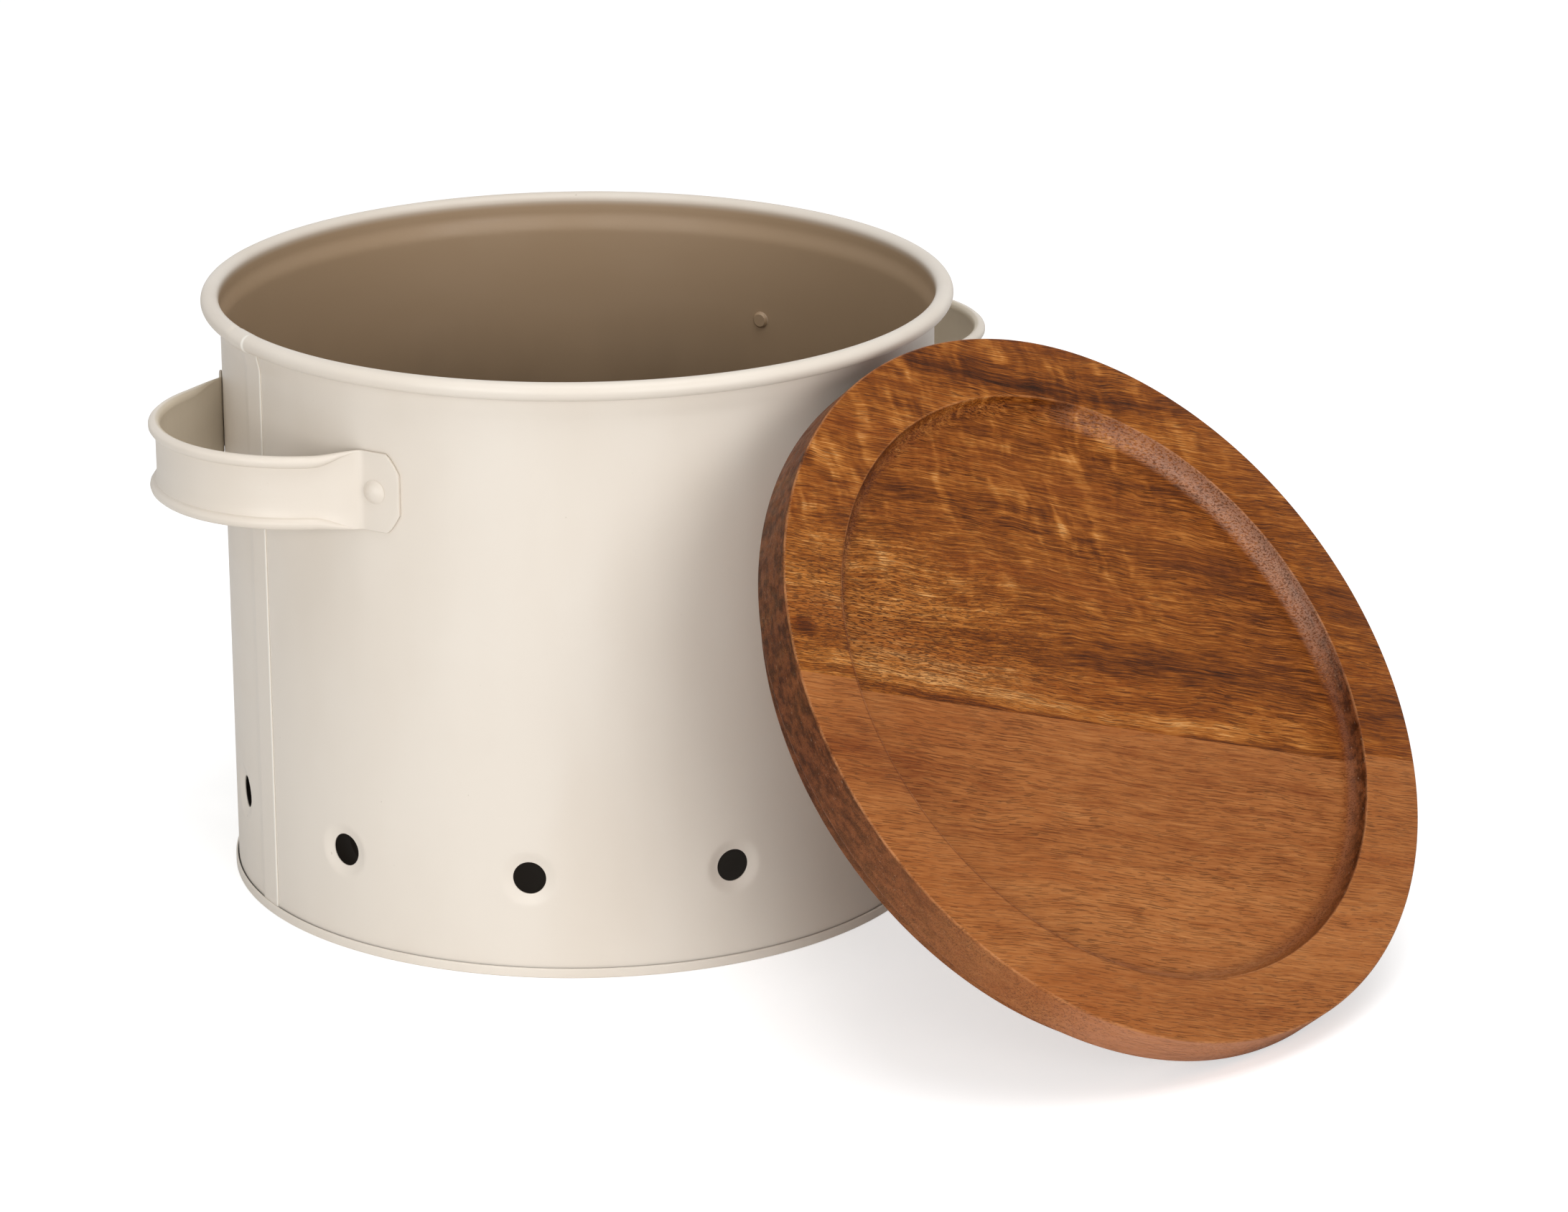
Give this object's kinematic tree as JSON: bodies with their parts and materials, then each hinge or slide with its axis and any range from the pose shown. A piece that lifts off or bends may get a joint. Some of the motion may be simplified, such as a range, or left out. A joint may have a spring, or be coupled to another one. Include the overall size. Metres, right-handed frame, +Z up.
{
  "type": "potato storage bin",
  "caption": "Round painted-steel potato storage bin with a curled rim, riveted strap handles, a ring of dimpled vent holes near its foot and a loose dished wooden lid leaning on its side.",
  "frame": {"origin": "on the drum's axis, in the plane that the drum and the leaning lid stand on", "axes": "+Z up along the drum's axis; -Y is the front, +X the right; the handles' middles are 60 degrees left of the front and opposite that, and the lid leans at the right front"},
  "size_m": [0.4122, 0.365, 0.2015],
  "materials": {
    "enamel": "satin",
    "board_golden": "oiled",
    "board_red": "oiled"
  },
  "bodies": {
    "bin": {"bin_wall": "enamel", "base_disc": "enamel", "handle_left": "enamel", "handle_right": "enamel", "rivet_left_front": "enamel", "rivet_left_rear": "enamel", "rivet_right_front": "enamel", "rivet_right_rear": "enamel"},
    "lid": {"lid_board_upper": "board_golden", "lid_board_lower": "board_red"}
  },
  "joints": [
    {"name": "lid_lift", "type": "slide", "parent": "bin", "child": "lid", "axis": [0.5312, -0.5425, 0.6508], "range_m": [0, 0.12]}
  ]
}
